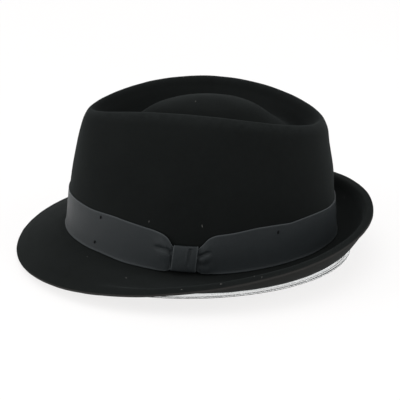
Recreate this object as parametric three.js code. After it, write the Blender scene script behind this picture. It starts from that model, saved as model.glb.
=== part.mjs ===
// A black felt trilby with a ribbon band and a flat bow, resting on a clear ring stand.
// Millimetres, +Z up, the table at z = 0, the hat's front towards -Y and its bow towards +X.

import * as THREE from "three";

// Driving dimensions

const gap = 0.3;
const feltThickness = 2.2;
const feltSectors = 60;

const ribbonThickness = 1.0;
const ribbonSectors = 84;
const ribbonRows = 4;

// Where the bow's knot lies on the band, and its size along and across the ribbon
const knotY = -7.4;
const knotLength = 18;
const knotHeight = 19;
const knotFront = 1.3;
const knotBack = 0.8;
const knotRise = 1.2;

// How far each side of the knot the ribbon stays pinched, and takes to spread to its full width
const pinchFrontward = 10;
const pinchBackward = 18;
const pinchRise = 5;
const pinchHold = 3;
const pinchPuff = 2.2;

const standSectors = 60;
const standWall = 1.6;
const standFoot = 1.6;
const standFlange = 6;
const standHalfWidth = 99.5;
const standFront = -128.5;
const standBack = 121.5;

const ring = (name, halfWidth, front, back, egg, power, steps, ...heights) =>
  ({ name, halfWidth, front, back, egg, power, steps, heights });

// The felt's outer face, one row for each ring from the brim's cut edge to the crown's dome.
// Columns: name, half width, front y, back y, egg, oval power, steps to the next ring, and its
// heights at the front, front quarters, sides, back quarters and back.
const feltRings = [
  ring("cut edge", 129.0, -137.0, 137.0, 0, 2.09, 2, 3.6, 7.8, 19.5, 31.6, 36.6),
  ring("lip", 120.8, -129.4, 131.0, 0, 2.08, 2, 8.0, 10.5, 20.2, 30.8, 35.6),
  ring("curl", 117.2, -125.6, 129.2, 0, 2.07, 2, 9.8, 12.3, 14.7, 19.9, 26.4),
  ring("mid brim", 108.6, -118.0, 123.2, 0, 2.05, 3, 13.6, 14.6, 12.0, 13.8, 18.0),
  ring("brim root", 93.2, -103.8, 115.4, 0, 2.0, 2, 19.2, 17.2, 11.4, 13.9, 14.6),
  ring("break", 88.4, -99.1, 111.2, 0, 2.0, 1, 20.4, 18.4, 13.2, 15.2, 14.4),
  ring("band foot", 87.3, -98.1, 110.1, 0, 2.0, 3, 21.8, 19.8, 14.6, 16.7, 15.8),
  ring("band top", 83.0, -94.2, 107.5, 0, 2.0, 2, 51.8, 49.6, 44.4, 45.4, 44.6),
  ring("low crown", 78.6, -91.0, 106.0, 0.03, 2.0, 3, 72.4, 73.0, 71.0, 67.5, 64.8),
  ring("high crown", 69.2, -86.2, 102.6, 0.1, 1.98, 2, 94.0, 97.0, 98.4, 90.0, 84.8),
  ring("shoulder", 60.4, -82.0, 100.6, 0.17, 1.96, 3, 106.4, 110.6, 113.4, 103.4, 96.8),
  ring("crest", 52.4, -77.4, 96.2, 0.22, 1.94, 3, 112.0, 118.0, 121.2, 111.2, 103.6),
  ring("inner slope", 45.8, -70.6, 88.2, 0.22, 1.95, 3, 107.0, 111.6, 114.6, 104.8, 98.4),
  ring("moat", 35.0, -60.0, 79.0, 0.18, 2.0, 3, 97.0, 101.0, 106.4, 98.4, 92.4),
  ring("dome side", 19.5, -27.0, 44.0, 0.1, 2.0, 3, 114.4, 115.6, 116.4, 115.2, 114.2),
];
const domeTop = new THREE.Vector3(0, 8, 120.9);

// Materials

const black = (color, roughness) => new THREE.MeshStandardMaterial({ color, roughness, metalness: 0 });
const feltMaterial = black(0x1c1f1f, 0.95);
const ribbonMaterial = black(0x34393d, 0.6);
const standMaterial = new THREE.MeshStandardMaterial({
  color: 0xeef2f4,
  roughness: 0.08,
  metalness: 0,
  transparent: true,
  opacity: 0.35,
});

// Curves shared by every piece

const smooth = (value) => THREE.MathUtils.smoothstep(value, 0, 1);

function ovalPower(value, power) {
  return Math.sign(value) * Math.abs(value) ** (2 / power);
}

// A cosine series through the five heights, the same on the left and the right
function heightAround(heights, angle) {
  const fromFront = angle + Math.PI / 2;
  const last = heights.length - 1;
  const half = (k) => (k === 0 || k === last ? 0.5 : 1);
  let height = 0;
  for (let k = 0; k <= last; k += 1) {
    let weight = 0;
    for (let j = 0; j <= last; j += 1) {
      weight += half(j) * heights[j] * Math.cos((k * j * Math.PI) / last);
    }
    height += half(k) * (2 / last) * weight * Math.cos(k * fromFront);
  }
  return height;
}

function ringPoint(row, angle) {
  const along = Math.sin(angle);
  const middle = (row.front + row.back) / 2;
  const reach = (row.back - row.front) / 2;
  return new THREE.Vector3(
    row.halfWidth * ovalPower(Math.cos(angle), row.power) * (1 + row.egg * along),
    middle + reach * ovalPower(along, row.power),
    heightAround(row.heights, angle),
  );
}

// The felt's outer face, from the cut edge at place 0 to the dome's top at place feltRings.length
function feltProfile(angle) {
  const points = feltRings.map((row) => ringPoint(row, angle));
  points.push(domeTop, ringPoint(feltRings.at(-1), angle + Math.PI));
  return new THREE.CatmullRomCurve3(points, false, "centripetal");
}

function feltPoint(angle, place) {
  return feltProfile(angle).getPoint(place / (feltRings.length + 1));
}

function feltNormal(angle, place) {
  const step = 0.01;
  const top = feltRings.length - step;
  const at = Math.min(Math.max(place, step), top);
  const along = feltPoint(angle, at + step).sub(feltPoint(angle, at - step));
  const around = feltPoint(angle + step, at).sub(feltPoint(angle - step, at));
  return around.cross(along).normalize();
}

// A point off the felt's outer face: outwards if the distance is above zero, else under the face
function feltOffset(angle, place, distance) {
  return feltPoint(angle, place).addScaledVector(feltNormal(angle, place), distance);
}

const rowNamed = (name) => feltRings.find((row) => row.name === name);
const placeOf = (name) => feltRings.indexOf(rowNamed(name));

// The place on the crown's wall that has the height asked for
function wallPlace(angle, height) {
  let low = placeOf("break") + 0.2;
  let high = placeOf("high crown");
  for (let step = 0; step < 24; step += 1) {
    const middle = (low + high) / 2;
    if (feltPoint(angle, middle).z < height) {
      low = middle;
    } else {
      high = middle;
    }
  }
  return (low + high) / 2;
}

// Meshes from grids of points

function gridFaces(rows, columns, offset, closed, flipped) {
  const faces = [];
  const turns = closed ? columns : columns - 1;
  for (let row = 0; row + 1 < rows; row += 1) {
    for (let column = 0; column < turns; column += 1) {
      const next = (column + 1) % columns;
      const a = offset + row * columns + column;
      const b = offset + row * columns + next;
      const c = offset + (row + 1) * columns + next;
      const d = offset + (row + 1) * columns + column;
      faces.push(...(flipped ? [a, d, c, a, c, b] : [a, b, c, a, c, d]));
    }
  }
  return faces;
}

function solidMesh(name, points, faces, material) {
  const geometry = new THREE.BufferGeometry();
  geometry.setAttribute("position", new THREE.Float32BufferAttribute(points.flatMap((p) => p.toArray()), 3));
  geometry.setIndex(faces);
  geometry.computeVertexNormals();
  const mesh = new THREE.Mesh(geometry, material);
  mesh.name = name;
  return mesh;
}

// A ring-shaped solid: one closed section of points at each angle, swept round
function sweptRing(name, angles, sectionAt, material) {
  const sections = angles.map(sectionAt);
  const size = sections[0].length;
  const points = sections.flat();
  const faces = gridFaces(sections.length, size, 0, true, true);
  const start = (sections.length - 1) * size;
  for (let column = 0; column < size; column += 1) {
    const next = (column + 1) % size;
    faces.push(start + column, column, next, start + column, next, start + next);
  }
  return solidMesh(name, points, faces, material);
}

const evenAngles = (count) => Array.from({ length: count }, (_, i) => (2 * Math.PI * i) / count);

// Felt body: crown and brim in one piece, hollow, open at the head

function feltBody() {
  const places = feltRings.flatMap((row, i) => Array.from({ length: row.steps }, (_, j) => i + j / row.steps));
  const angles = evenAngles(feltSectors);
  const outer = places.flatMap((place) => angles.map((angle) => feltPoint(angle, place)));
  const inner = places.flatMap((place) => angles.map((angle) => feltOffset(angle, place, -feltThickness)));
  const innerTop = domeTop.clone().setZ(domeTop.z - feltThickness);
  const points = [...outer, ...inner, domeTop, innerTop];
  const count = outer.length;
  const faces = [
    ...gridFaces(places.length, feltSectors, 0, true, false),
    ...gridFaces(places.length, feltSectors, count, true, true),
  ];
  const lastRow = count - feltSectors;
  for (let i = 0; i < feltSectors; i += 1) {
    const next = (i + 1) % feltSectors;
    faces.push(lastRow + i, lastRow + next, 2 * count);
    faces.push(count + lastRow + next, count + lastRow + i, 2 * count + 1);
    faces.push(next, i, count + i, next, count + i, count + next);
  }
  return solidMesh("felt_body", points, faces, feltMaterial);
}

// Ribbon band, pinched to the knot's height where the knot wraps it

// The ribbon's long radius, which turns an angle near the side into a length along the ribbon
const armRadius = 104;
const knotAngle = Math.asin((knotY - 6) / armRadius);

// Signed distance along the ribbon from the knot's middle, positive towards the hat's back
function fromKnot(angle) {
  const turn = Math.atan2(Math.sin(angle - knotAngle), Math.cos(angle - knotAngle));
  return turn * armRadius;
}

// How far past the held stretch a distance from the knot's middle is
const pastKnot = (distance) => Math.abs(distance) - knotLength / 2 - pinchHold;

// One at the knot and zero where the ribbon has its full width
function pinchAt(angle) {
  const distance = fromKnot(angle);
  const reach = distance < 0 ? pinchFrontward : pinchBackward;
  const away = pastKnot(distance) / reach;
  return (1 - THREE.MathUtils.clamp(away, 0, 1)) ** 2;
}

// The lower edge rises into the knot over a short stretch and the upper edge falls over a long one
function ribbonEdges(angle) {
  const bottom = heightAround(rowNamed("band foot").heights, angle);
  const top = heightAround(rowNamed("band top").heights, angle);
  const wrap = gap + knotFront;
  const rise = wrap * (1 - smooth(pastKnot(fromKnot(angle)) / pinchRise));
  return {
    bottom: bottom + rise,
    top: THREE.MathUtils.lerp(top, bottom + knotHeight - wrap, pinchAt(angle)),
  };
}

function ribbonLift(angle, across) {
  const amount = pinchAt(angle);
  const puff = 4 * amount * (1 - amount) * pinchPuff * Math.sin(Math.PI * across);
  return gap + amount * knotRise + puff;
}

function ribbonPoint(angle, across, depth) {
  const edges = ribbonEdges(angle);
  const height = THREE.MathUtils.lerp(edges.bottom, edges.top, across);
  return feltOffset(angle, wallPlace(angle, height), ribbonLift(angle, across) + depth);
}

// Angles all round the hat, closer together near the knot
function ribbonAngles() {
  return evenAngles(ribbonSectors).map((angle) => knotAngle + angle - 0.62 * Math.sin(angle));
}

function hatBand() {
  const section = (angle) => {
    const points = [];
    for (let i = 0; i <= ribbonRows; i += 1) {
      points.push(ribbonPoint(angle, i / ribbonRows, ribbonThickness));
    }
    for (let i = ribbonRows; i >= 0; i -= 1) {
      points.push(ribbonPoint(angle, i / ribbonRows, 0));
    }
    return points;
  };
  return sweptRing("hat_band", ribbonAngles(), section, ribbonMaterial);
}

// Bow knot: a short sleeve of ribbon wrapped round the pinched band

function knotLoop(angle, spread) {
  const edges = ribbonEdges(angle);
  const low = edges.bottom - spread;
  const high = edges.top + spread;
  const back = knotRise + gap - Math.min(spread, gap + knotBack);
  const front = knotRise + gap + ribbonThickness + spread;
  const corner = (height, lift) => feltOffset(angle, wallPlace(angle, height), lift);
  const round = Math.min(spread, front - back) / 2;
  const middle = (low + high) / 2;
  return [
    corner(low, back),
    corner(low, front - round),
    corner(low + round, front),
    corner(middle, front),
    corner(high - round, front),
    corner(high, front - round),
    corner(high, back),
    corner(middle, back),
  ];
}

function bowKnot() {
  const steps = 6;
  const size = 8;
  const halfTurn = knotLength / 2 / armRadius;
  const angles = Array.from({ length: steps + 1 }, (_, i) => knotAngle - halfTurn + (2 * halfTurn * i) / steps);
  const outer = angles.flatMap((angle) => knotLoop(angle, gap + knotFront));
  const inner = angles.flatMap((angle) => knotLoop(angle, gap));
  const count = outer.length;
  const faces = [
    ...gridFaces(steps + 1, size, 0, true, true),
    ...gridFaces(steps + 1, size, count, true, false),
  ];
  const end = steps * size;
  for (let i = 0; i < size; i += 1) {
    const next = (i + 1) % size;
    faces.push(i, next, count + next, i, count + next, count + i);
    faces.push(end + next, end + i, count + end + i, end + next, count + end + i, count + end + next);
  }
  return solidMesh("bow_knot", [...outer, ...inner], faces, ribbonMaterial);
}

// Clear ring stand: a flat foot and a thin wall that rises to the underside of the brim

function standRing() {
  const top = placeOf("brim root");
  const foot = { halfWidth: standHalfWidth, front: standFront, back: standBack, egg: 0, power: 2 };
  const footPoint = (angle, inset, height) => {
    const row = {
      ...foot,
      halfWidth: foot.halfWidth - inset,
      front: foot.front + inset,
      back: foot.back - inset,
      heights: [height, height, height, height, height],
    };
    return ringPoint(row, angle);
  };
  const section = (angle) => [
    footPoint(angle, 0, 0),
    footPoint(angle, 0, standFoot),
    footPoint(angle, standFlange / 2 - standWall / 2, standFoot),
    feltOffset(angle, top - 0.25, -feltThickness - gap),
    feltOffset(angle, top - 0.12, -feltThickness - gap),
    footPoint(angle, standFlange / 2 + standWall / 2, standFoot),
    footPoint(angle, standFlange, standFoot),
    footPoint(angle, standFlange, 0),
  ];
  return sweptRing("clear_ring_stand", evenAngles(standSectors), section, standMaterial);
}

const trilby = new THREE.Group();
trilby.add(feltBody(), hatBand(), bowKnot(), standRing());

export default trilby;
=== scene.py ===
import math

import bpy
import numpy as np
from mathutils import Matrix, Vector


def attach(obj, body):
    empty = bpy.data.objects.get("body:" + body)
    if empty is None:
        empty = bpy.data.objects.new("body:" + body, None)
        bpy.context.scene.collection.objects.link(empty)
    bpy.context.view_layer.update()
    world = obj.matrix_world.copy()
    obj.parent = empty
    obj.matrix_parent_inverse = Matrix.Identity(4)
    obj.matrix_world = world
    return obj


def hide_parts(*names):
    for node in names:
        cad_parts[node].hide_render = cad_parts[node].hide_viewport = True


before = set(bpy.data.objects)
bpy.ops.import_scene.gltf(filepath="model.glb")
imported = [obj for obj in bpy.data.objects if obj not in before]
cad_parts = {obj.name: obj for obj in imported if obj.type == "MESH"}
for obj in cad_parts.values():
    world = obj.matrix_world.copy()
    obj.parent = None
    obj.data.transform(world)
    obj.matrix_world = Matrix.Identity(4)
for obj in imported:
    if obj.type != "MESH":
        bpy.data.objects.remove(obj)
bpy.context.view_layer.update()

# A black felt trilby with a ribbon band and a flat bow, on a clear ring stand.
# Lengths in the tables are millimetres; meshes are made in metres, in the frame's axes.

rng = np.random.default_rng(11)
MM = 0.001

# The felt's outer face, the same rings as the solid.
# Columns: name, half width, front y, back y, egg (how much wider towards the back), oval power,
# mesh rows to the next ring, and heights at the front, front quarters, sides, back quarters and back.
RINGS = [
    ("cut edge", 129.0, -137.0, 137.0, 0, 2.09, 9, 3.6, 7.8, 19.5, 31.6, 36.6),
    ("lip", 120.8, -129.4, 131.0, 0, 2.08, 7, 8.0, 10.5, 20.2, 30.8, 35.6),
    ("curl", 117.2, -125.6, 129.2, 0, 2.07, 8, 9.8, 12.3, 14.7, 19.9, 26.4),
    ("mid brim", 108.6, -118.0, 123.2, 0, 2.05, 10, 13.6, 14.6, 12.0, 13.8, 18.0),
    ("brim root", 93.2, -103.8, 115.4, 0, 2.0, 6, 19.2, 17.2, 11.4, 13.9, 14.6),
    ("break", 88.4, -99.1, 111.2, 0, 2.0, 3, 20.4, 18.4, 13.2, 15.2, 14.4),
    ("band foot", 87.3, -98.1, 110.1, 0, 2.0, 8, 21.8, 19.8, 14.6, 16.7, 15.8),
    ("band top", 83.0, -94.2, 107.5, 0, 2.0, 12, 51.8, 49.6, 44.4, 45.4, 44.6),
    ("low crown", 78.6, -91.0, 106.0, 0.03, 2.0, 12, 72.4, 73.0, 71.0, 67.5, 64.8),
    ("high crown", 69.2, -86.2, 102.6, 0.1, 1.98, 9, 94.0, 97.0, 98.4, 90.0, 84.8),
    ("shoulder", 60.4, -82.0, 100.6, 0.17, 1.96, 11, 106.4, 110.6, 113.4, 103.4, 96.8),
    ("crest", 52.4, -77.4, 96.2, 0.22, 1.94, 9, 112.0, 118.0, 121.2, 111.2, 103.6),
    ("inner slope", 45.8, -70.6, 88.2, 0.22, 1.95, 12, 107.0, 111.6, 114.6, 104.8, 98.4),
    ("moat", 35.0, -60.0, 79.0, 0.18, 2.0, 14, 97.0, 101.0, 106.4, 98.4, 92.4),
    ("dome side", 19.5, -27.0, 44.0, 0.1, 2.0, 10, 114.4, 115.6, 116.4, 115.2, 114.2),
]
DOME_TOP = (0.0, 8.0, 120.9)
FELT = 2.2
FELT_SECTORS = 288

# The ribbon and the knot
RIBBON_WIDTH = 29.5
RIBBON = 0.55
RIBBON_LIFT = 0.14
RIBBON_SECTORS = 560
RIBBON_ROWS = 34
RIBBON_CROWDING = 0.78
EDGE_BEAD = 0.10
# Width of the painted highlight along the ribbon's edges
EDGE_HIGHLIGHT_FADE = 0.7
STRAY_STARTS = 8.0
SELVEDGE = 0.9
GAP = 0.3
KNOT_Y = -7.4
KNOT_LENGTH = 17.6
KNOT_FOOT = 0.7
KNOT_HEIGHT = 19.0
KNOT_WALL = 0.75
KNOT_SLANT = 1.6
KNOT_RISE = 1.2
KNOT_CLEARANCE = 0.15
KNOT_MOUTH = 1.6
KNOT_SQUARENESS = 5.5
KNOT_COLUMNS = 41
KNOT_STEPS = 72
ARM_RADIUS = 104.0
KNOT_ANGLE = math.asin((KNOT_Y - 6) / ARM_RADIUS)

# The clear ring
STAND_SECTORS = 240
STAND_WALL = 1.0
STAND_FOOT = 1.2
STAND_FLANGE = 6.0
STAND_ROUND = 0.35
STAND_HALF_WIDTH = 99.5
STAND_FRONT = -128.5
STAND_BACK = 121.5


# Curves shared by every piece

NAMES = [row[0] for row in RINGS]
HALF_ENDS = np.array([0.5, 1, 1, 1, 0.5])
ORDER = np.arange(5)
COSINES = 0.5 * HALF_ENDS[:, None] * HALF_ENDS[None, :] * np.cos(np.outer(ORDER, ORDER) * np.pi / 4)


def smooth(value):
    value = np.clip(value, 0, 1)
    return value * value * (3 - 2 * value)


def bump(value, centre, reach):
    """One at the centre, falling smoothly to zero at the reach."""
    return smooth(1 - np.abs(value - centre) / reach)


def curve_through(value, knots, heights):
    """A smooth curve through a table's points, level beyond both ends."""
    knots, heights = np.array(knots, float), np.array(heights, float)
    slopes = np.gradient(heights, knots)
    slopes[0] = slopes[-1] = 0
    first = np.clip(np.searchsorted(knots, value) - 1, 0, len(knots) - 2)
    span = knots[first + 1] - knots[first]
    share = np.clip((value - knots[first]) / span, 0, 1)
    rise = heights[first + 1] - heights[first]
    a, b = slopes[first] * span, slopes[first + 1] * span
    return heights[first] + share * (a + share * (3 * rise - 2 * a - b + share * (a + b - 2 * rise)))


def height_around(heights, angle):
    series = COSINES @ np.array(heights, float)
    return np.tensordot(series, np.cos(np.multiply.outer(ORDER, np.asarray(angle) + np.pi / 2)), 1)


def oval(value, power):
    return np.sign(value) * np.abs(value) ** (2 / power)


def oval_point(half_width, front, back, egg, power, angle, height):
    along = np.sin(angle)
    x = half_width * oval(np.cos(angle), power) * (1 + egg * along)
    y = (front + back) / 2 + (back - front) / 2 * oval(along, power)
    return np.stack([x, y, height + 0 * x], -1)


def ring_point(row, angle):
    return oval_point(*row[1:6], angle, height_around(row[7:], angle))


def felt_point(angles, places):
    """Points on the felt's outer face. places has a column for each angle."""
    rings = [ring_point(row, angles) for row in RINGS]
    rings.append(np.broadcast_to(np.array(DOME_TOP), rings[0].shape))
    rings.append(ring_point(RINGS[-1], angles + np.pi))
    table = np.stack(rings)
    last = len(table) - 1
    first = np.clip(np.floor(places).astype(int), 0, last - 1)
    column = np.broadcast_to(np.arange(len(angles)), first.shape)
    share = (places - first)[..., None]
    p1 = table[first, column]
    p2 = table[first + 1, column]
    p0 = np.where(first[..., None] > 0, table[np.maximum(first - 1, 0), column], 2 * p1 - p2)
    p3 = np.where(first[..., None] < last - 1, table[np.minimum(first + 2, last), column], 2 * p2 - p1)
    d0 = np.linalg.norm(p1 - p0, axis=-1, keepdims=True) ** 0.5
    d1 = np.linalg.norm(p2 - p1, axis=-1, keepdims=True) ** 0.5
    d2 = np.linalg.norm(p3 - p2, axis=-1, keepdims=True) ** 0.5
    t1 = ((p1 - p0) / d0 - (p2 - p0) / (d0 + d1) + (p2 - p1) / d1) * d1
    t2 = ((p2 - p1) / d1 - (p3 - p1) / (d1 + d2) + (p3 - p2) / d2) * d1
    c2 = -3 * p1 + 3 * p2 - 2 * t1 - t2
    c3 = 2 * p1 - 2 * p2 + t1 + t2
    return p1 + share * (t1 + share * (c2 + share * c3))


def felt_frame(angles, places):
    """Unit vectors along the profile and out of the face."""
    step = 0.01
    at = np.clip(places, step, len(RINGS) - step)
    along = felt_point(angles, at + step) - felt_point(angles, at - step)
    around = felt_point(angles + step, at) - felt_point(angles - step, at)
    normal = np.cross(around, along)
    normal /= np.linalg.norm(normal, axis=-1, keepdims=True)
    along /= np.linalg.norm(along, axis=-1, keepdims=True)
    return along, normal


def wave_table(count, longest, shortest, height):
    rows = []
    for _ in range(count):
        direction = rng.normal(size=3)
        direction /= np.linalg.norm(direction)
        length = rng.uniform(shortest, longest)
        rows.append((direction * 2 * np.pi / length, rng.uniform(0, 2 * np.pi), height))
    return rows


# The slight unevenness that hand steaming and brushing leave in the felt
HAND_WAVES = wave_table(count=9, longest=120, shortest=45, height=0.075)
HAND_WAVES += wave_table(count=10, longest=30, shortest=14, height=0.018)


def hand_wave(points):
    total = np.zeros(points.shape[:-1])
    for direction, phase, height in HAND_WAVES:
        total += height * np.sin(points @ direction + phase)
    return total


def felt_offset(angles, places, distance):
    base = felt_point(angles, places)
    normal = felt_frame(angles, places)[1]
    distance = np.broadcast_to(distance, base.shape[:-1])
    return base + normal * (distance + hand_wave(base))[..., None]


HALVINGS = 22


def wall_place(angles, heights):
    """The place on the crown's wall at each angle that has the height asked for."""
    low = np.full(heights.shape, NAMES.index("break") + 0.2)
    high = np.full(heights.shape, float(NAMES.index("high crown")))
    for _ in range(HALVINGS):
        middle = (low + high) / 2
        below = felt_point(angles, middle)[..., 2] < heights
        low = np.where(below, middle, low)
        high = np.where(below, high, middle)
    return (low + high) / 2


# Meshes from rows of points

def mesh_object(name, points, faces, material, slot, uv=None, **attributes):
    mesh = bpy.data.meshes.new(name)
    mesh.from_pydata([tuple(p) for p in np.asarray(points) * MM], [], faces)
    mesh.polygons.foreach_set("use_smooth", [True] * len(mesh.polygons))
    for key, values in attributes.items():
        layer = mesh.attributes.new(key, "FLOAT", "POINT")
        layer.data.foreach_set("value", np.asarray(values, np.float32))
    if uv is not None:
        corner = np.zeros(len(mesh.loops), int)
        mesh.loops.foreach_get("vertex_index", corner)
        layer = mesh.uv_layers.new(name="UVMap")
        layer.data.foreach_set("uv", np.asarray(uv, np.float32)[corner].ravel())
    mesh.validate()
    mesh.update()
    mesh.materials.append(material)
    item = bpy.data.objects.new(name, mesh)
    bpy.context.scene.collection.objects.link(item)
    return item


def grid_faces(rows, columns, close_rows=False, close_columns=True):
    faces = []
    for row in range(rows if close_rows else rows - 1):
        below = row * columns
        above = (row + 1) % rows * columns
        for column in range(columns if close_columns else columns - 1):
            after = (column + 1) % columns
            faces.append((below + column, below + after, above + after, above + column))
    return faces


# Materials

def new_material(name):
    material = bpy.data.materials.new(name)
    material.use_nodes = True
    tree = material.node_tree
    shader = tree.nodes["Principled BSDF"]
    return material, tree, shader


def node(tree, kind, links=(), **values):
    made = tree.nodes.new(kind)
    for key, value in values.items():
        if hasattr(made, key):
            setattr(made, key, value)
        else:
            made.inputs[key.replace("_", " ")].default_value = value
    for source, target in links:
        tree.links.new(source, made.inputs[target])
    return made


def noise(tree, vector, scale, detail=3.0, roughness=0.55):
    return node(
        tree, "ShaderNodeTexNoise", [(vector, "Vector")],
        Scale=scale, Detail=detail, Roughness=roughness,
    )


def math_node(tree, operation, a, b=None, clamp=False):
    made = node(tree, "ShaderNodeMath", operation=operation, use_clamp=clamp)
    for index, value in enumerate((a, b)):
        if value is None:
            continue
        if isinstance(value, (int, float)):
            made.inputs[index].default_value = value
        else:
            tree.links.new(value, made.inputs[index])
    return made.outputs[0]


def mix_colour(tree, factor, a, b):
    made = node(tree, "ShaderNodeMix", data_type="RGBA")
    tree.links.new(factor, made.inputs["Factor"])
    for value, target in ((a, made.inputs[6]), (b, made.inputs[7])):
        if isinstance(value, tuple):
            target.default_value = (*value, 1)
        else:
            tree.links.new(value, target)
    return made.outputs[2]


def spread(tree, value, low, high, new_low, new_high):
    made = node(tree, "ShaderNodeMapRange", [(value, "Value")])
    for key, number in (("From Min", low), ("From Max", high), ("To Min", new_low), ("To Max", new_high)):
        made.inputs[key].default_value = number
    return made.outputs[0]


def attribute(tree, name):
    return node(tree, "ShaderNodeAttribute", attribute_name=name).outputs["Fac"]


def felt_material():
    material, tree, shader = new_material("felt")
    where = node(tree, "ShaderNodeTexCoord").outputs["Object"]
    cloud = noise(tree, where, 22, 4).outputs["Fac"]
    mottle = noise(tree, where, 240, 4, 0.65).outputs["Fac"]
    nap = noise(tree, where, 2600, 3, 0.7).outputs["Fac"]
    dark, light = (0.0043, 0.0050, 0.0050), (0.0083, 0.0095, 0.0093)
    colour = mix_colour(tree, spread(tree, cloud, 0.35, 0.65, 0.1, 0.55), dark, light)
    colour = mix_colour(tree, spread(tree, mottle, 0.3, 0.7, 0.0, 0.55), colour, light)
    colour = mix_colour(tree, spread(tree, nap, 0.35, 0.7, 0.0, 0.6), colour, (0.0098, 0.0110, 0.0105))
    # Painted sheen: the felt is mixed towards a lighter grey along the crest, where grazing sheen falls
    worn = math_node(tree, "MULTIPLY", attribute(tree, "worn"), spread(tree, mottle, 0.3, 0.6, 0.4, 1.0))
    colour = mix_colour(tree, worn, colour, (0.019, 0.0215, 0.0215))
    # Lighter, warm felt colour: the raw cut edge's own colour, and painted floor bounce light on the brim's
    # underside near the edge
    raw = math_node(tree, "MULTIPLY", attribute(tree, "raw"), spread(tree, nap, 0.3, 0.6, 0.5, 1.0))
    colour = mix_colour(tree, raw, colour, (0.043, 0.041, 0.039))
    tree.links.new(colour, shader.inputs["Base Color"])
    tree.links.new(spread(tree, mottle, 0.3, 0.7, 0.9, 1.0), shader.inputs["Roughness"])
    shader.inputs["Specular IOR Level"].default_value = 0.045
    shader.inputs["Sheen Weight"].default_value = 0.042
    shader.inputs["Sheen Roughness"].default_value = 0.45
    shader.inputs["Sheen Tint"].default_value = (0.80, 0.92, 0.92, 1)
    soft = node(tree, "ShaderNodeBump", [(mottle, "Height")], Strength=0.35, Distance=0.0003)
    fine = node(
        tree, "ShaderNodeBump", [(nap, "Height"), (soft.outputs[0], "Normal")],
        Strength=0.6, Distance=0.00022,
    )
    tree.links.new(fine.outputs[0], shader.inputs["Normal"])
    return material


# The ribbon's weave in metres: from rib to rib along it, and from thread to thread across it
RIB_PITCH = 0.0008
THREAD_PITCH = 0.00032


def ribbon_material():
    material, tree, shader = new_material("ribbon")
    uv = node(tree, "ShaderNodeUVMap", uv_map="UVMap").outputs[0]
    parts = node(tree, "ShaderNodeSeparateXYZ", [(uv, 0)])
    along, across = parts.outputs[0], parts.outputs[1]
    where = node(tree, "ShaderNodeTexCoord").outputs["Object"]
    drift = noise(tree, where, 60, 3).outputs["Fac"]
    slub = noise(tree, where, 900, 3, 0.6).outputs["Fac"]
    wander = math_node(tree, "MULTIPLY", drift, 0.0002)
    wandering = math_node(tree, "ADD", along, wander)
    rib_wave = math_node(tree, "SINE", math_node(tree, "MULTIPLY", wandering, 2 * math.pi / RIB_PITCH))
    rib = spread(tree, rib_wave, -1, 1, 0, 1)
    thread_wave = math_node(tree, "SINE", math_node(tree, "MULTIPLY", across, 2 * math.pi / THREAD_PITCH))
    thread = spread(tree, thread_wave, -1, 1, 0, 1)
    # Painted highlight: a lighter line along the ribbon's edges, where the raised edge catches the light
    edge = attribute(tree, "selvedge")
    dark, light = (0.0145, 0.0178, 0.0194), (0.0232, 0.0275, 0.0296)
    colour = mix_colour(tree, spread(tree, rib, 0, 1, 0.15, 0.85), dark, light)
    colour = mix_colour(tree, spread(tree, slub, 0.35, 0.7, 0, 0.35), colour, (0.031, 0.0355, 0.038))
    colour = mix_colour(tree, spread(tree, drift, 0.35, 0.65, 0, 0.3), colour, (0.0165, 0.0192, 0.0212))
    colour = mix_colour(tree, math_node(tree, "MULTIPLY", edge, 0.85), colour, (0.062, 0.070, 0.074))
    tree.links.new(colour, shader.inputs["Base Color"])
    tree.links.new(spread(tree, slub, 0.3, 0.7, 0.38, 0.50), shader.inputs["Roughness"])
    shader.inputs["Specular IOR Level"].default_value = 0.17
    shader.inputs["Sheen Weight"].default_value = 0.03
    shader.inputs["Sheen Roughness"].default_value = 0.4
    shader.inputs["Sheen Tint"].default_value = (0.88, 0.96, 1.0, 1)
    weave = math_node(tree, "ADD", rib, math_node(tree, "MULTIPLY", thread, 0.35))
    weave = math_node(tree, "ADD", weave, math_node(tree, "MULTIPLY", slub, 0.5))
    woven = node(tree, "ShaderNodeBump", [(weave, "Height")], Strength=0.55, Distance=0.00013)
    tree.links.new(woven.outputs[0], shader.inputs["Normal"])
    return material


def thread_material():
    material, tree, shader = new_material("thread")
    where = node(tree, "ShaderNodeTexCoord").outputs["Object"]
    twist = noise(tree, where, 2400, 2).outputs["Fac"]
    dark, light = (0.002, 0.0022, 0.0025), (0.005, 0.0055, 0.006)
    colour = mix_colour(tree, spread(tree, twist, 0.35, 0.65, 0, 1), dark, light)
    tree.links.new(colour, shader.inputs["Base Color"])
    tree.links.new(spread(tree, twist, 0.3, 0.7, 0.6, 0.8), shader.inputs["Roughness"])
    shader.inputs["Specular IOR Level"].default_value = 0.1
    return material


def lint_material():
    material, tree, shader = new_material("lint")
    where = node(tree, "ShaderNodeTexCoord").outputs["Object"]
    shade = noise(tree, where, 700, 2).outputs["Fac"]
    colour = mix_colour(tree, spread(tree, shade, 0.35, 0.65, 0, 1), (0.16, 0.16, 0.15), (0.34, 0.33, 0.31))
    tree.links.new(colour, shader.inputs["Base Color"])
    shader.inputs["Roughness"].default_value = 0.9
    return material


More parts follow.
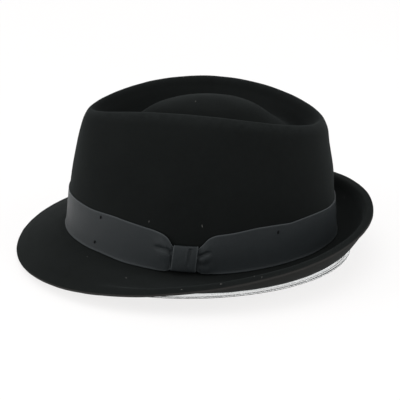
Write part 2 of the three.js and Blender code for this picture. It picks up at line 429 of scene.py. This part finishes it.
def clear_material():
    material, tree, shader = new_material("clear_plastic")
    where = node(tree, "ShaderNodeTexCoord").outputs["Object"]
    flow = noise(tree, where, 40, 2).outputs["Fac"]
    scuff = noise(tree, where, 900, 3, 0.7).outputs["Fac"]
    colour = mix_colour(tree, spread(tree, flow, 0.3, 0.7, 0, 1), (0.95, 0.97, 0.975), (0.975, 0.985, 0.985))
    tree.links.new(colour, shader.inputs["Base Color"])
    tree.links.new(spread(tree, scuff, 0.45, 0.75, 0.03, 0.14), shader.inputs["Roughness"])
    shader.inputs["Transmission Weight"].default_value = 0.97
    shader.inputs["IOR"].default_value = 1.33
    wavy = node(tree, "ShaderNodeBump", [(flow, "Height")], Strength=0.02, Distance=0.0005)
    tree.links.new(wavy.outputs[0], shader.inputs["Normal"])
    return material


FELT_SKIN = felt_material()
RIBBON_SKIN = ribbon_material()
THREAD_SKIN = thread_material()
LINT_SKIN = lint_material()
CLEAR_SKIN = clear_material()


# Felt body: one hollow skin from the dome's inside, round the raw cut edge, to the dome's outside

EDGE_START = 0.055
EDGE_ROUND = 0.45
EDGE_ROWS = 9
FRAY = 0.07
# Painted floor bounce light on the brim's underside, fading inwards from the edge
UNDERSIDE_BOUNCE_LIGHT = 0.95
UNDERSIDE_REACH = 2.6
# Strength and reach of the painted sheen on the crest
CREST_SHEEN = 0.6
CREST_REACH = 0.9


def crown_places(every):
    places = []
    for index, row in enumerate(RINGS):
        count = max(2, row[6] // every)
        places += [index + step / count for step in range(count)]
    places[0] = EDGE_START
    return np.array(places)


def felt_body():
    angles = np.arange(FELT_SECTORS) * 2 * np.pi / FELT_SECTORS
    column = np.ones(FELT_SECTORS)
    outer_places = crown_places(every=1)
    inner_places = crown_places(every=3)[::-1]
    outer = felt_offset(angles, outer_places[:, None] * column, 0.0)
    inner = felt_offset(angles, inner_places[:, None] * column, -FELT)
    start = np.full((1, FELT_SECTORS), EDGE_START)
    along, normal = felt_frame(angles, start)
    middle = (outer[0] + inner[-1]) / 2
    edge_rows = []
    for turn in np.linspace(-1, 1, EDGE_ROWS)[1:-1]:
        side = np.sign(turn) * abs(turn) ** 0.8
        out = (1 - abs(side) ** 3) ** (1 / 3)
        fray = np.convolve(np.tile(rng.normal(0, FRAY, FELT_SECTORS), 3), np.ones(3) / 3, "same")
        fray = fray[FELT_SECTORS:2 * FELT_SECTORS]
        row = middle + normal[0] * (side * FELT / 2) - along[0] * (EDGE_ROUND * out + fray)[:, None]
        edge_rows.append(row)
    rows = np.concatenate([inner, np.stack(edge_rows), outer])
    top = np.array([DOME_TOP])
    top = top + np.array([[0, 0, 1]]) * hand_wave(top)[:, None]
    points = np.concatenate([rows.reshape(-1, 3), top, top - [[0, 0, FELT]]])
    count = len(rows)
    faces = grid_faces(count, FELT_SECTORS)
    last = (count - 1) * FELT_SECTORS
    for i in range(FELT_SECTORS):
        after = (i + 1) % FELT_SECTORS
        faces.append((last + i, last + after, len(points) - 2))
        faces.append((after, i, len(points) - 1))
    # Painted bounce light on the underside near the edge; the cut edge rows get the raw edge's lighter
    # colour
    raw = np.zeros((count, FELT_SECTORS))
    under = np.clip(1 - inner_places / UNDERSIDE_REACH, 0, 1)
    raw[:len(inner)] = UNDERSIDE_BOUNCE_LIGHT * under[:, None] ** 0.7
    cut_rows = np.arange(len(inner), len(inner) + len(edge_rows))
    middle_row = cut_rows.mean()
    raw[cut_rows] = (0.5 + 0.5 * np.exp(-((cut_rows - middle_row) / 1.6) ** 2))[:, None]
    # Painted sheen: lighter along the crest's ridge on the outer face
    worn = np.zeros((count, FELT_SECTORS))
    outer_start = len(inner) + len(edge_rows)
    crest = bump(outer_places, NAMES.index("crest") - 0.1, CREST_REACH)
    worn[outer_start:] = CREST_SHEEN * crest[:, None] * column
    ends = [0, 0]
    return mesh_object(
        "felt_hat", points, faces, FELT_SKIN, "felt",
        raw=np.concatenate([raw.ravel(), ends]), worn=np.concatenate([worn.ravel(), ends]),
    )


# Ribbon band, gathered into the knot, with its small folds beside it

def from_knot(angle):
    turn = np.arctan2(np.sin(angle - KNOT_ANGLE), np.cos(angle - KNOT_ANGLE))
    return turn * ARM_RADIUS


# The ribbon gathered into the knot. Columns: distance from the knot's end, then how far the top edge
# drops, the bottom edge rises and the middle lifts off the felt towards the front of the hat, and
# the same three towards its back.
GATHER = np.array([
    (-6.0, 11.7, 1.90, 1.42, 11.7, 1.90, 1.42),
    (-0.9, 11.7, 1.90, 1.42, 11.7, 1.90, 1.42),
    (0.9, 10.0, 1.80, 1.7, 11.6, 1.20, 1.7),
    (2.1, 8.3, 0.95, 2.3, 10.6, 0.60, 2.3),
    (3.5, 6.3, 0.40, 2.5, 9.4, 0.10, 2.6),
    (5.4, 4.7, -0.10, 2.5, 7.4, -0.10, 2.8),
    (7.4, 3.6, -0.30, 2.2, 5.2, -0.20, 2.7),
    (10.3, 2.7, -0.20, 1.6, 3.4, -0.20, 2.1),
    (13.5, 2.0, -0.10, 1.1, 2.4, -0.15, 1.5),
    (17.4, 1.4, 0.0, 0.7, 2.0, -0.10, 0.95),
    (22.0, 1.0, 0.0, 0.4, 1.8, 0.0, 0.6),
    (28.0, 0.5, 0.0, 0.25, 1.4, 0.0, 0.35),
    (36.0, 0.1, 0.0, 0.14, 0.7, 0.0, 0.2),
    (48.0, 0.0, 0.0, 0.14, 0.0, 0.0, 0.14),
])

# How far the sewn ribbon's edges stray from the crown's rings. Columns: angle in degrees, drop of
# the top edge and drop of the bottom edge.
STRAY = np.array([
    (-180.0, 0.4, 0.6),
    (-105.0, 1.1, 0.8),
    (-79.0, 1.5, 0.9),
    (-64.0, 1.0, 0.7),
    (-52.0, 0.7, 0.5),
    (-46.0, 0.0, 0.2),
    (-40.0, -0.6, 0.5),
    (-33.0, -0.1, 1.0),
    (-27.0, 0.0, 0.8),
    (-18.0, 0.0, 0.8),
    (0.0, 0.0, 0.9),
    (34.0, 0.2, 1.0),
    (37.5, 0.8, 1.0),
    (44.0, 0.4, 1.0),
    (52.0, 0.2, 1.0),
    (60.0, 0.8, 0.6),
    (69.0, 1.8, 0.5),
    (80.0, 2.1, 0.5),
    (100.0, 0.9, 0.6),
    (180.0, 0.4, 0.6),
])


def gathered(angle, column):
    """A column of the table of the gathered ribbon, on the side of the knot that the angle is."""
    distance = from_knot(angle)
    away = np.abs(distance) - KNOT_LENGTH / 2
    front = curve_through(away, GATHER[:, 0], GATHER[:, column])
    rear = curve_through(away, GATHER[:, 0], GATHER[:, column + 3])
    return np.where(distance < 0, front, rear)


def ribbon_edges(angle):
    degrees = np.degrees(np.arctan2(np.sin(angle), np.cos(angle)))
    bottom = height_around(RINGS[NAMES.index("band foot")][7:], angle)
    top = height_around(RINGS[NAMES.index("band top")][7:], angle)
    loose = smooth((np.abs(from_knot(angle)) - KNOT_LENGTH / 2) / STRAY_STARTS)
    top = top - curve_through(degrees, STRAY[:, 0], STRAY[:, 1]) * loose - gathered(angle, 1)
    bottom = bottom - curve_through(degrees, STRAY[:, 0], STRAY[:, 2]) * loose + gathered(angle, 2)
    return bottom, top


# Folds where the ribbon is gathered. Columns: side (-1 towards the front of the hat), three points
# of the fold, each its distance from the knot's end and its share of the ribbon's height, then the
# half width in millimetres, and the height: below zero for a valley.
FOLDS = [
    (-1, 0.0, 0.66, 6.0, 0.63, 15.5, 0.60, 1.3, -1.7),
    (-1, 0.0, 0.84, 6.0, 0.80, 15.0, 0.76, 3.0, 0.40),
    (-1, 0.0, 0.54, 6.0, 0.49, 15.0, 0.46, 3.0, 0.22),
    (-1, 0.0, 0.76, 2.0, 0.73, 5.0, 0.72, 0.55, -0.4),
    (-1, 0.0, 0.30, 5.0, 0.27, 11.0, 0.24, 3.0, -0.20),
    (1, 0.0, 0.68, 5.0, 0.66, 11.0, 0.60, 1.2, -1.7),
    (1, 0.0, 0.86, 6.0, 0.82, 14.0, 0.78, 3.2, 0.25),
    (1, 0.0, 0.56, 5.0, 0.50, 10.5, 0.47, 2.8, 0.60),
    (1, 2.5, 0.34, 7.0, 0.31, 13.0, 0.38, 2.2, -0.35),
    (1, 0.0, 0.17, 5.0, 0.15, 12.0, 0.13, 2.4, 0.10),
]


def fold_height(distance, across, height):
    total = np.zeros(np.broadcast(distance, across).shape)
    for side, d0, v0, d1, v1, d2, v2, width, size in FOLDS:
        run = distance * side - KNOT_LENGTH / 2
        line = curve_through(run, (d0, d1, d2), (v0, v1, v2))
        away = np.abs(across - line) * height / width
        fade = smooth((run - d0 + 2.5) / 2.5) * (1 - smooth((run - 0.55 * d2) / (0.5 * d2)))
        total += size * np.exp(-away ** 2) * fade
    return total


def ribbon_lift(angle, across, height):
    """How far the ribbon's back is off the felt: clear of the knot's back inside it, bellied beside it."""
    middle = gathered(angle, 3) - RIBBON_LIFT
    away = np.abs(from_knot(angle)) - KNOT_LENGTH / 2
    free = smooth((away - KNOT_SLANT / 2) / KNOT_MOUTH)
    belly = 0.45 + 0.55 * np.sin(np.pi * np.clip(across, 0, 1)) ** 0.8
    belly = 1 + (belly - 1) * free
    folded = fold_height(from_knot(angle), across, height)
    lowest = RIBBON_LIFT + (KNOT_RISE + KNOT_CLEARANCE - RIBBON_LIFT) * (1 - free)
    return np.maximum(RIBBON_LIFT + middle * belly + folded, lowest)


def ribbon_point(angles, across, depth):
    """Points on the ribbon at each share across it, rows of across for columns of angles."""
    bottom, top = ribbon_edges(angles)
    across = np.asarray(across)[:, None]
    heights = bottom + (top - bottom) * across
    lift = ribbon_lift(angles, across, top - bottom)
    return felt_offset(angles, wall_place(angles, heights), lift + np.asarray(depth)[:, None])


def hat_ribbon():
    even = np.arange(RIBBON_SECTORS) * 2 * np.pi / RIBBON_SECTORS
    angles = KNOT_ANGLE + even - RIBBON_CROWDING * np.sin(even)
    share = np.linspace(0, 1, RIBBON_ROWS)
    hem = SELVEDGE / RIBBON_WIDTH
    share = np.unique(np.concatenate([share, [hem * 0.35, hem, 1 - hem, 1 - hem * 0.35]]))
    from_edge = np.minimum(share, 1 - share) * RIBBON_WIDTH
    bead = EDGE_BEAD * np.exp(-((from_edge - 0.45) / 0.4) ** 2)
    front_depth = RIBBON + bead
    front_depth[0] = front_depth[-1] = RIBBON * 0.75
    back_share = share[::-3]
    if back_share[-1] != share[0]:
        back_share = np.append(back_share, share[0])
    back_depth = np.zeros(len(back_share))
    back_depth[0] = back_depth[-1] = RIBBON * 0.2
    front = ribbon_point(angles, share, front_depth)
    back = ribbon_point(angles, back_share, back_depth)
    rows = np.concatenate([front, back])
    middle = front[len(share) // 2]
    steps = np.linalg.norm(np.diff(middle, axis=0, append=middle[:1]), axis=1)
    length = np.concatenate([[0], np.cumsum(steps)[:-1]])
    total = steps.sum()
    all_share = np.concatenate([share, back_share])
    along = np.broadcast_to(length * MM, rows.shape[:2])
    across = np.broadcast_to((all_share * RIBBON_WIDTH * MM)[:, None], rows.shape[:2])
    uv = np.stack([along, across], -1).reshape(-1, 2)
    # Painted highlight along both edges of the ribbon's face, none on its back
    selvedge = np.concatenate([np.exp(-(from_edge / EDGE_HIGHLIGHT_FADE) ** 2), np.zeros(len(back_share))])
    selvedge = np.broadcast_to(selvedge[:, None], rows.shape[:2]).ravel()
    faces = grid_faces(len(rows), RIBBON_SECTORS, close_rows=True)
    item = mesh_object(
        "hat_ribbon", rows.reshape(-1, 3), faces, RIBBON_SKIN, "ribbon",
        uv=uv, selvedge=selvedge,
    )
    return item, total * MM, RIBBON_WIDTH * MM


# Bow knot: a short sleeve of ribbon wrapped round the gathered band, with one crease

CREASE_AT = 0.64
CREASE_DEPTH = 1.10
CREASE_RIDGE = 0.34
FACE_CROWN = 0.55
LENGTH_CROWN = 0.35
LIP_HEIGHT = 0.10
FRONT_ROOM = 0.25


def knot_rows(angles, inset, corner, steps):
    """Closed loops round the band, one for each angle: height and lift follow a rounded box."""
    foot = height_around(RINGS[NAMES.index("band foot")][7:], angles)
    low, high = foot + KNOT_FOOT + inset, foot + KNOT_FOOT + KNOT_HEIGHT - inset
    back = KNOT_RISE - KNOT_WALL + inset
    front = KNOT_RISE + GAP + RIBBON + GAP + KNOT_WALL + FRONT_ROOM - inset
    turn = np.arange(steps) * 2 * np.pi / steps
    box = 2 / KNOT_SQUARENESS
    across = np.sign(np.cos(turn)) * np.abs(np.cos(turn)) ** box
    lift = np.sign(np.sin(turn)) * np.abs(np.sin(turn)) ** box
    share = (across[:, None] + 1) / 2
    heights = low + (high - low) * share
    outward = (lift[:, None] + 1) / 2
    lifts = back + (front - back) * outward + 0 * heights
    along = (from_knot(angles) + KNOT_LENGTH / 2) / KNOT_LENGTH
    crown = FACE_CROWN * np.sin(np.pi * share) * outward
    crown = crown + LENGTH_CROWN * np.sin(np.pi * along) * outward
    down_the_face = smooth((share - 0.26) / 0.16) * (1 - smooth((share - 0.86) / 0.12))
    step_down = smooth((along - CREASE_AT + 0.03) / 0.05) * (1 - smooth((along - CREASE_AT) / 0.24))
    ridge = bump(along, CREASE_AT - 0.06, 0.06)
    lips = LIP_HEIGHT * (bump(along, 0.03, 0.09) + bump(along, 0.97, 0.09))
    crease = (CREASE_RIDGE * ridge - CREASE_DEPTH * step_down) * down_the_face
    lifts = lifts + outward * (crown + crease + lips * corner)
    slanted = angles + (share - 0.5) * KNOT_SLANT / ARM_RADIUS
    points = np.empty(lifts.shape + (3,))
    for i in range(steps):
        row_angles = slanted[i]
        place = wall_place(row_angles, heights[i][None])
        points[i] = felt_offset(row_angles, place, lifts[i][None])[0]
    return points


def bow_knot():
    columns, steps = KNOT_COLUMNS, KNOT_STEPS
    half = KNOT_LENGTH / 2
    distance = np.linspace(-half, half, columns)
    angles = KNOT_ANGLE + distance / ARM_RADIUS
    outer = knot_rows(angles, 0.0, 1.0, steps)
    inner = knot_rows(angles, KNOT_WALL, 0.0, steps)
    rows = np.concatenate([outer.transpose(1, 0, 2), inner.transpose(1, 0, 2)[::-1]])
    faces = grid_faces(len(rows), steps, close_rows=True)
    loop = np.linalg.norm(np.diff(outer[:, columns // 2], axis=0, append=outer[:1, columns // 2]), axis=1)
    around = np.concatenate([[0], np.cumsum(loop)[:-1]]) * MM
    along = np.concatenate([distance + half, distance[::-1] + half]) * MM
    uv = np.stack(np.broadcast_arrays(around[None, :], along[:, None]), -1).reshape(-1, 2)
    # Painted highlight along the knot sleeve's two edges, half as strong on its inner layer
    edge = np.exp(-((half - np.abs(distance)) / 0.6) ** 2)
    selvedge = np.concatenate([edge, edge[::-1] * 0.5])
    selvedge = np.broadcast_to(selvedge[:, None], rows.shape[:2]).ravel()
    return mesh_object(
        "bow_knot_wrap", rows.reshape(-1, 3), faces, RIBBON_SKIN, "ribbon",
        uv=uv, selvedge=selvedge,
    )


# Clear ring: a flat foot with rounded edges and a thin wall up to the underside of the brim

def clear_ring():
    angles = np.arange(STAND_SECTORS) * 2 * np.pi / STAND_SECTORS
    top = NAMES.index("brim root")

    def foot(inset, height):
        return oval_point(
            STAND_HALF_WIDTH - inset, STAND_FRONT + inset, STAND_BACK - inset, 0, 2.0, angles, height,
        )

    def under_brim(place):
        row = np.full((1, STAND_SECTORS), top + place)
        return felt_offset(angles, row, -FELT - GAP)[0]

    near, far = STAND_FLANGE / 2 - STAND_WALL / 2, STAND_FLANGE / 2 + STAND_WALL / 2
    round_off = STAND_ROUND
    wall_outside = foot(near, STAND_FOOT + round_off)
    wall_inside = foot(far, STAND_FOOT + round_off)
    outside_top, inside_top = under_brim(-0.25), under_brim(-0.12)
    sections = [
        foot(round_off, 0.0),
        foot(round_off * 0.3, round_off * 0.3),
        foot(0.0, round_off),
        foot(0.0, STAND_FOOT - round_off),
        foot(round_off * 0.3, STAND_FOOT - round_off * 0.3),
        foot(round_off, STAND_FOOT),
        foot(near - round_off, STAND_FOOT),
        foot(near - round_off * 0.3, STAND_FOOT + round_off * 0.3),
    ]
    sections += [wall_outside + (outside_top - wall_outside) * t for t in np.linspace(0, 0.97, 9)]
    rim = (outside_top + inside_top) / 2
    sections += [outside_top + (rim - outside_top) * 0.2, rim, inside_top + (rim - inside_top) * 0.2]
    sections += [wall_inside + (inside_top - wall_inside) * t for t in np.linspace(0.97, 0, 9)]
    sections += [
        foot(far + round_off * 0.3, STAND_FOOT + round_off * 0.3),
        foot(far + round_off, STAND_FOOT),
        foot(STAND_FLANGE - round_off, STAND_FOOT),
        foot(STAND_FLANGE, STAND_FOOT - round_off),
        foot(STAND_FLANGE, round_off),
        foot(STAND_FLANGE - round_off, 0.0),
    ]
    rows = np.stack(sections)
    faces = grid_faces(len(rows), STAND_SECTORS, close_rows=True)
    return mesh_object("clear_ring", rows.reshape(-1, 3), faces, CLEAR_SKIN, "clear_plastic")


# Small stitches that tack the ribbon to the crown, each a short bent thread
# Columns: angle in degrees and share of the ribbon's height
TACKS = [
    (-47.3, 0.88),
    (-49.8, 0.21),
    (32.0, 0.82),
    (95.0, 0.85),
    (180.0, 0.85),
    (265.0, 0.85),
]


def thread_tube(points, radius, sides=6):
    points = np.asarray(points, float)
    tangent = np.gradient(points, axis=0)
    tangent /= np.linalg.norm(tangent, axis=1, keepdims=True)
    side = np.cross(tangent, [0.31, 0.17, 0.93])
    side /= np.linalg.norm(side, axis=1, keepdims=True)
    up = np.cross(tangent, side)
    turn = np.arange(sides) * 2 * np.pi / sides
    taper = np.ones(len(points))
    taper[0] = taper[-1] = 0.3
    rows = points[:, None] + (radius * taper)[:, None, None] * (
        side[:, None] * np.cos(turn)[None, :, None] + up[:, None] * np.sin(turn)[None, :, None]
    )
    faces = grid_faces(len(points), sides)
    faces.append(tuple(range(sides))[::-1])
    faces.append(tuple(range((len(points) - 1) * sides, len(points) * sides)))
    return rows.reshape(-1, 3), faces


def joined(name, parts, material, slot):
    points, faces, start = [], [], 0
    for part_points, part_faces in parts:
        points.append(part_points)
        faces += [tuple(start + i for i in face) for face in part_faces]
        start += len(part_points)
    return mesh_object(name, np.concatenate(points), faces, material, slot)


TACK_LEGS = (-0.45, 0.0, 0.45)
TACK_HALF = 1.2
TACK_RADIUS = 0.33


def tack_stitches():
    parts = []
    for degrees, share in TACKS:
        angle = math.radians(degrees)
        for leg in TACK_LEGS:
            run = np.linspace(-TACK_HALF, TACK_HALF, 7)
            angles = angle + (leg + 0.15 * run) / ARM_RADIUS
            bottom, top = ribbon_edges(angles)
            heights = bottom + (top - bottom) * share + run
            place = wall_place(angles, heights[None])
            rise = RIBBON_LIFT + RIBBON + 0.16 * np.cos(run / TACK_HALF * np.pi / 2)
            parts.append(thread_tube(felt_offset(angles, place, rise[None])[0], TACK_RADIUS))
    return joined("tack_stitches", parts, THREAD_SKIN, "ribbon")


# Short wool fibres that stand off the raw edge and the nap. They leave out the places under the ribbon,
# but its lower hem strays past them, and a few fibres go through it.

FIBRE_HALF_WIDTH = 0.022
FIBRE_LENGTHS = (0.35, 0.95)
FIBRE_SPREAD = 0.9
UNDER_RIBBON = (5.6, 7.05)


def felt_fibres(count_edge, count_face):
    edge_angles = rng.uniform(0, 2 * np.pi, count_edge)
    edge_places = rng.uniform(0.02, 0.10, count_edge)
    edge_depth = rng.uniform(-FELT, 0, count_edge)
    face_angles = rng.uniform(0, 2 * np.pi, count_face)
    face_places = rng.uniform(0.1, 14.5, count_face)
    under_ribbon = (face_places > UNDER_RIBBON[0]) & (face_places < UNDER_RIBBON[1])
    face_angles, face_places = face_angles[~under_ribbon], face_places[~under_ribbon]
    angles = np.concatenate([edge_angles, face_angles])
    places = np.concatenate([edge_places, face_places])[None]
    depth = np.concatenate([edge_depth, np.zeros(len(face_angles))])[None]
    base = felt_offset(angles, places, depth)[0]
    along, normal = (v[0] for v in felt_frame(angles, places))
    around = np.cross(along, normal)
    count = len(angles)
    on_edge = np.arange(count) < count_edge
    lean = np.where(on_edge[:, None], -along, normal) + FIBRE_SPREAD * rng.normal(size=(count, 3))
    lean /= np.linalg.norm(lean, axis=1, keepdims=True)
    out = np.where(on_edge, (lean * -along).sum(1), (lean * normal).sum(1))
    lean *= np.where(out < 0, -1, 1)[:, None]
    length = rng.uniform(*FIBRE_LENGTHS, count)[:, None]
    bend = around * rng.normal(0, 0.2, (count, 1))
    half = np.cross(lean, rng.normal(size=(count, 3)))
    half *= FIBRE_HALF_WIDTH / np.linalg.norm(half, axis=1, keepdims=True)
    start = base - np.where(on_edge[:, None], -along, normal) * 0.1
    middle = base + lean * length * 0.5 + bend
    tip = base + lean * length + bend * 2.2
    corners = [start - half, start + half, middle - half * 0.8, middle + half * 0.8, tip]
    points = np.stack(corners, 1).reshape(-1, 3)
    faces = []
    for i in range(count):
        first = 5 * i
        faces.append((first, first + 1, first + 3, first + 2))
        faces.append((first + 2, first + 3, first + 4))
    # Fibres are lightened partly with the raw edge colour and partly with painted sheen
    ones = np.full(len(points), 0.3)
    return mesh_object("felt_fibres", points, faces, FELT_SKIN, "felt", raw=ones, worn=ones)


# A few specks of pale lint caught in the nap. Columns: angle in degrees and place on the profile
LINT = [
    (-23.0, 7.13),
    (-0.8, 7.17),
    (-26.2, 3.3),
    (19.0, 0.3),
    (-3.8, 0.37),
    (-20.0, 14.45),
    (-49.0, 3.83),
    (17.0, 0.67),
    (6.8, 0.51),
    (150.0, 8.4),
    (210.0, 3.4),
    (250.0, 9.2),
    (110.0, 2.2),
]


SPECK_RADIUS = 0.11
SPECK_SIZES = (0.35, 0.6)


def lint_specks():
    parts = []
    for degrees, place in LINT:
        angle = math.radians(degrees)
        turn = rng.uniform(0, np.pi)
        size = rng.uniform(*SPECK_SIZES)
        run = np.linspace(-1, 1, 6)
        angles = angle + (run * math.cos(turn) + 0.4 * run ** 2) * size / 100
        places = place + (run * math.sin(turn)) * size / 14
        rise = 0.12 + 0.12 * (1 - run ** 2)
        base = felt_offset(angles, places[None], rise[None])[0]
        parts.append(thread_tube(base, SPECK_RADIUS, sides=5))
    return joined("lint_specks", parts, LINT_SKIN, "felt")


felt = felt_body()
ribbon, ribbon_length, ribbon_width = hat_ribbon()
knot = bow_knot()
stand = clear_ring()
tacks = tack_stitches()
fibres = felt_fibres(count_edge=9000, count_face=9000)
lint = lint_specks()

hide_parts("felt_body")
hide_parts("hat_band")
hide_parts("bow_knot")
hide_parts("clear_ring_stand")
for piece in (felt, ribbon, knot, stand, tacks, fibres, lint):
    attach(piece, "root")


# Floor, lights and camera

def pale_floor():
    size = 4.0
    cells = 8
    edge = np.linspace(-size, size, cells + 1)
    points = [(x, y, -0.0002) for y in edge for x in edge]
    faces = grid_faces(cells + 1, cells + 1, close_columns=False)
    mesh = bpy.data.meshes.new("floor")
    mesh.from_pydata(points, [], faces)
    material, tree, shader = new_material("pale_floor")
    where = node(tree, "ShaderNodeTexCoord").outputs["Object"]
    tone = noise(tree, where, 3, 2).outputs["Fac"]
    colour = mix_colour(tree, tone, (0.20, 0.20, 0.202), (0.22, 0.22, 0.222))
    tree.links.new(colour, shader.inputs["Base Color"])
    shader.inputs["Roughness"].default_value = 0.8
    shader.inputs["Specular IOR Level"].default_value = 0.1
    shader.inputs["Emission Color"].default_value = (1.0, 0.99, 0.985, 1)
    shader.inputs["Emission Strength"].default_value = 0.80
    mesh.materials.append(material)
    floor = bpy.data.objects.new("floor", mesh)
    bpy.context.scene.collection.objects.link(floor)


def area_light(name, place, size, power):
    data = bpy.data.lights.new(name, "AREA")
    data.shape = "RECTANGLE"
    data.size, data.size_y = size
    data.energy = power
    lamp = bpy.data.objects.new(name, data)
    lamp.location = place
    aim = Vector((0, 0, 0.05)) - Vector(place)
    lamp.rotation_mode = "QUATERNION"
    lamp.rotation_quaternion = aim.to_track_quat("-Z", "Y")
    bpy.context.scene.collection.objects.link(lamp)


pale_floor()
world = bpy.data.worlds.new("studio")
world.use_nodes = True
world.node_tree.nodes["Background"].inputs[0].default_value = (1, 1, 1, 1)
world.node_tree.nodes["Background"].inputs[1].default_value = 0.62
bpy.context.scene.world = world
area_light("softbox_front", (0.35, -1.7, 0.65), (0.9, 0.9), 10)
area_light("softbox_back", (0.5, 1.5, 1.0), (1.0, 1.0), 7)
area_light("softbox_top", (0.2, -0.1, 1.9), (1.6, 1.6), 10)

AZIMUTH = math.radians(89.36)
ELEVATION = math.radians(20.0)
DISTANCE = 1.1
TARGET = Vector((0, 0.00425, 0.05863))
IMAGE = 400
SENSOR = 36
PIXELS_PER_MM = 1.31
FOCAL_PIXELS = PIXELS_PER_MM * DISTANCE / MM
TARGET_RIGHT = 199.24 - IMAGE / 2
TARGET_UP = IMAGE / 2 - 173.97

back = Vector((
    math.sin(AZIMUTH) * math.cos(ELEVATION), -math.cos(AZIMUTH) * math.cos(ELEVATION), math.sin(ELEVATION),
))
right = Vector((math.cos(AZIMUTH), math.sin(AZIMUTH), 0))
up = back.cross(right)
look = (-back * FOCAL_PIXELS - right * TARGET_RIGHT - up * TARGET_UP).normalized()
camera_data = bpy.data.cameras.new("camera")
camera_data.sensor_width = SENSOR
camera_data.lens = FOCAL_PIXELS * SENSOR / IMAGE
camera = bpy.data.objects.new("camera", camera_data)
side = look.cross(Vector((0, 0, 1))).normalized()
head = side.cross(look)
turn = Matrix((side, head, -look)).transposed().to_4x4()
camera.matrix_world = Matrix.Translation(TARGET + back * DISTANCE) @ turn
bpy.context.scene.collection.objects.link(camera)
bpy.context.scene.camera = camera
bpy.context.scene.view_settings.view_transform = "Standard"

bpy.context.view_layer.update()
